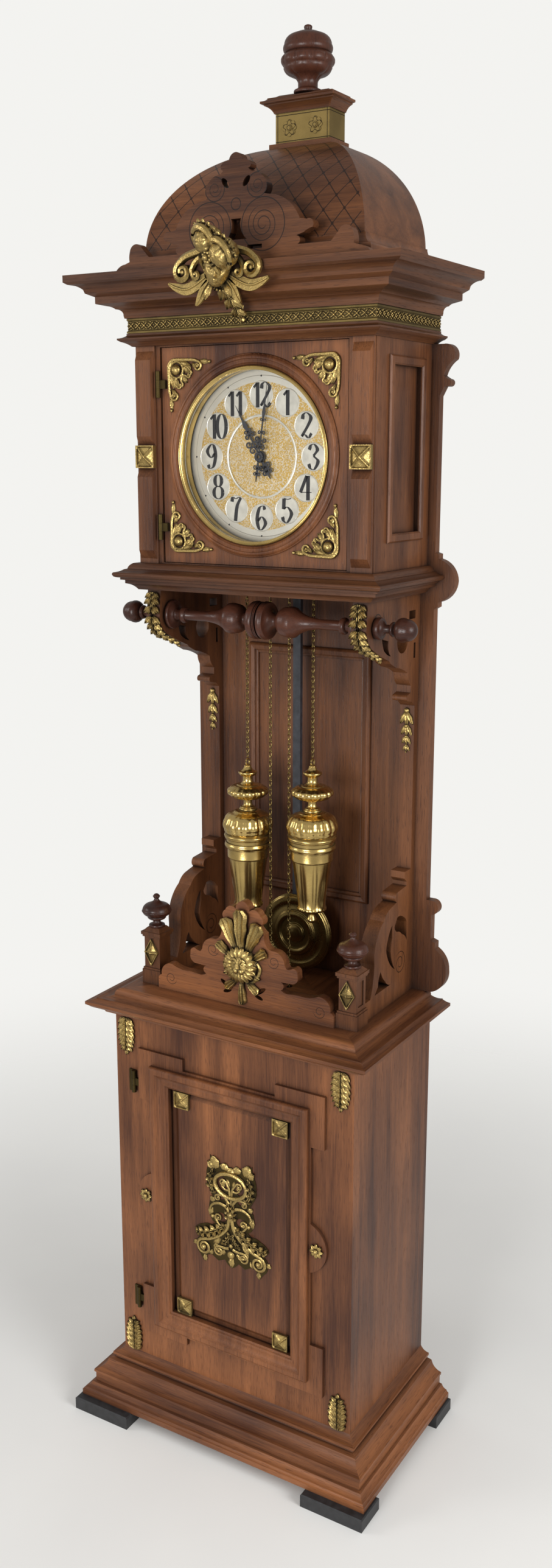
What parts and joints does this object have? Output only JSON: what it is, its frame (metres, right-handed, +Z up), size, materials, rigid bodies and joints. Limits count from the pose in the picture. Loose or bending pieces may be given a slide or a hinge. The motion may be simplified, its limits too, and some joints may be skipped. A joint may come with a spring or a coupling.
{
  "type": "longcase clock",
  "caption": "Tall weight-driven clock: panelled lower case with a door, open fretwork middle with pendulum and weights, glazed dial head, cornice and dome.",
  "frame": {"origin": "centre of the footprint on the floor", "axes": "+X to the right seen from the front, +Y to the back, +Z up"},
  "size_m": [0.618, 0.3766, 2.45],
  "materials": {
    "painted_wood": "painted black",
    "turned_wood": "red brown, turned and polished",
    "brown_wood": "brown oak, polished",
    "brass": "cast and turned, aged polish",
    "dial_face": "silvered ring with black figures",
    "black_steel": "blackened",
    "steel": "smooth",
    "clear_glass": "clear"
  },
  "bodies": {
    "case": {"block_feet": "painted_wood", "plinth": "brown_wood", "case_carcass": "brown_wood", "shelf": "brown_wood", "hinge_pins": "brass", "leaf_mounts": "brass", "backboard": "brown_wood", "side_board_left": "brown_wood", "side_board_right": "brown_wood", "spindle": "turned_wood", "gallery_board": "brown_wood", "gallery_mount": "brass", "gallery_posts": "brown_wood", "post_finials": "turned_wood", "square_bosses": "brass", "head_base": "brown_wood", "head_carcass": "brown_wood", "head_side_frames": "brown_wood", "pilasters": "brown_wood", "entablature": "brown_wood", "frieze_band": "brass", "dome": "brown_wood", "crest_board": "brown_wood", "mask_mount": "brass", "brass_block": "brass", "cap": "brown_wood", "finial": "turned_wood", "dial": "dial_face", "seat_board": "brown_wood", "movement_frame": "brass", "bell": "brass"},
    "lower_door": {"door_frame": "brown_wood", "door_moulding": "brown_wood", "door_panel": "brown_wood", "door_ornament": "brass", "door_fittings": "brass"},
    "dial_door": {"head_door": "brown_wood", "bezel": "brass", "dial_glass": "clear_glass", "head_door_fittings": "brass"},
    "centre": {"centre_wheel": "brass", "minute_hand": "black_steel"},
    "hour": {"hour_wheel": "brass", "hour_hand": "black_steel"},
    "minute_wheel": {"minute_wheel": "brass"},
    "third_wheel": {"third_wheel": "brass"},
    "escape_wheel": {"escape_wheel": "brass"},
    "great_wheel": {"great_wheel": "brass"},
    "chain_wheel": {"chain_wheel": "brass"},
    "strike_wheel": {"strike_wheel": "brass"},
    "anchor": {"anchor": "steel"},
    "pendulum": {"pendulum_rod": "black_steel", "pendulum_bob": "brass"},
    "weight_right": {"weight_right": "brass", "chain_pull_right": "brass"},
    "weight_left": {"weight_left": "brass", "chain_pull_left": "brass"},
    "tail_right": {"chain_tail_right": "brass"},
    "tail_left": {"chain_tail_left": "brass"},
    "hammer": {"hammer": "steel"}
  },
  "joints": [
    {"name": "lower_door_hinge", "type": "hinge", "parent": "case", "child": "lower_door", "pos_m": [-0.203, -0.11755, 0.457], "axis": [0, 0, -1], "range_deg": [0, 110]},
    {"name": "dial_door_hinge", "type": "hinge", "parent": "case", "child": "dial_door", "pos_m": [-0.178, -0.03705, 1.7773], "axis": [0, 0, -1], "range_deg": [0, 110]},
    {"name": "minute_spin", "type": "hinge", "parent": "case", "child": "centre", "pos_m": [0, 0.05875, 1.7773], "axis": [0, 1, 0], "continuous": true},
    {"name": "hour_spin", "type": "hinge", "parent": "case", "child": "hour", "pos_m": [0, 0.05875, 1.7773], "axis": [0, 1, 0], "continuous": true},
    {"name": "minute_wheel_spin", "type": "hinge", "parent": "case", "child": "minute_wheel", "pos_m": [0, 0.05875, 1.7493], "axis": [0, 1, 0], "continuous": true},
    {"name": "great_spin", "type": "hinge", "parent": "case", "child": "great_wheel", "pos_m": [0.0425, 0.05875, 1.73396], "axis": [0, 1, 0], "continuous": true},
    {"name": "third_spin", "type": "hinge", "parent": "case", "child": "third_wheel", "pos_m": [0.0131, 0.05875, 1.81562], "axis": [0, 1, 0], "continuous": true},
    {"name": "escape_spin", "type": "hinge", "parent": "case", "child": "escape_wheel", "pos_m": [0, 0.05875, 1.847], "axis": [0, 1, 0], "continuous": true},
    {"name": "pendulum_swing", "type": "hinge", "parent": "case", "child": "pendulum", "pos_m": [0, 0.11875, 1.885], "axis": [0, 1, 0], "range_deg": [-2, 2]},
    {"name": "anchor_rock", "type": "hinge", "parent": "case", "child": "anchor", "pos_m": [0, 0.05875, 1.885], "axis": [0, 1, 0], "range_deg": [-2, 2]},
    {"name": "right_weight_travel", "type": "slide", "parent": "case", "child": "weight_right", "axis": [0, 0, 1], "range_m": [-0.115, 0.19]},
    {"name": "left_weight_travel", "type": "slide", "parent": "case", "child": "weight_left", "axis": [0, 0, 1], "range_m": [-0.101, 0.204]},
    {"name": "right_tail_travel", "type": "slide", "parent": "case", "child": "tail_right", "axis": [0, 0, 1], "range_m": [-0.19, 0.115]},
    {"name": "left_tail_travel", "type": "slide", "parent": "case", "child": "tail_left", "axis": [0, 0, 1], "range_m": [-0.204, 0.101]},
    {"name": "chain_wheel_turn", "type": "hinge", "parent": "case", "child": "chain_wheel", "pos_m": [0.0425, 0.05875, 1.73396], "axis": [0, 1, 0], "range_deg": [-464, 281]},
    {"name": "strike_wheel_turn", "type": "hinge", "parent": "case", "child": "strike_wheel", "pos_m": [-0.0425, 0.05875, 1.73396], "axis": [0, 1, 0], "range_deg": [-247, 498]},
    {"name": "hammer_rock", "type": "hinge", "parent": "case", "child": "hammer", "pos_m": [-0.052, 0.07275, 1.85], "axis": [0, 1, 0], "range_deg": [-12, 2.5], "stiffness_Nm_per_rad": 0.1}
  ],
  "couplings": [
    {"joint": "hour_spin", "follows": "minute_spin", "ratio": 0.083333},
    {"joint": "minute_wheel_spin", "follows": "minute_spin", "ratio": -0.33333},
    {"joint": "great_spin", "follows": "minute_spin", "ratio": -0.16667},
    {"joint": "third_spin", "follows": "minute_spin", "ratio": -8},
    {"joint": "escape_spin", "follows": "minute_spin", "ratio": 60},
    {"joint": "anchor_rock", "follows": "pendulum_swing", "ratio": 1},
    {"joint": "right_tail_travel", "follows": "right_weight_travel", "ratio": -1},
    {"joint": "left_tail_travel", "follows": "left_weight_travel", "ratio": -1},
    {"joint": "chain_wheel_turn", "follows": "right_weight_travel", "rad_per_m": -42.553},
    {"joint": "strike_wheel_turn", "follows": "left_weight_travel", "rad_per_m": 42.553}
  ]
}
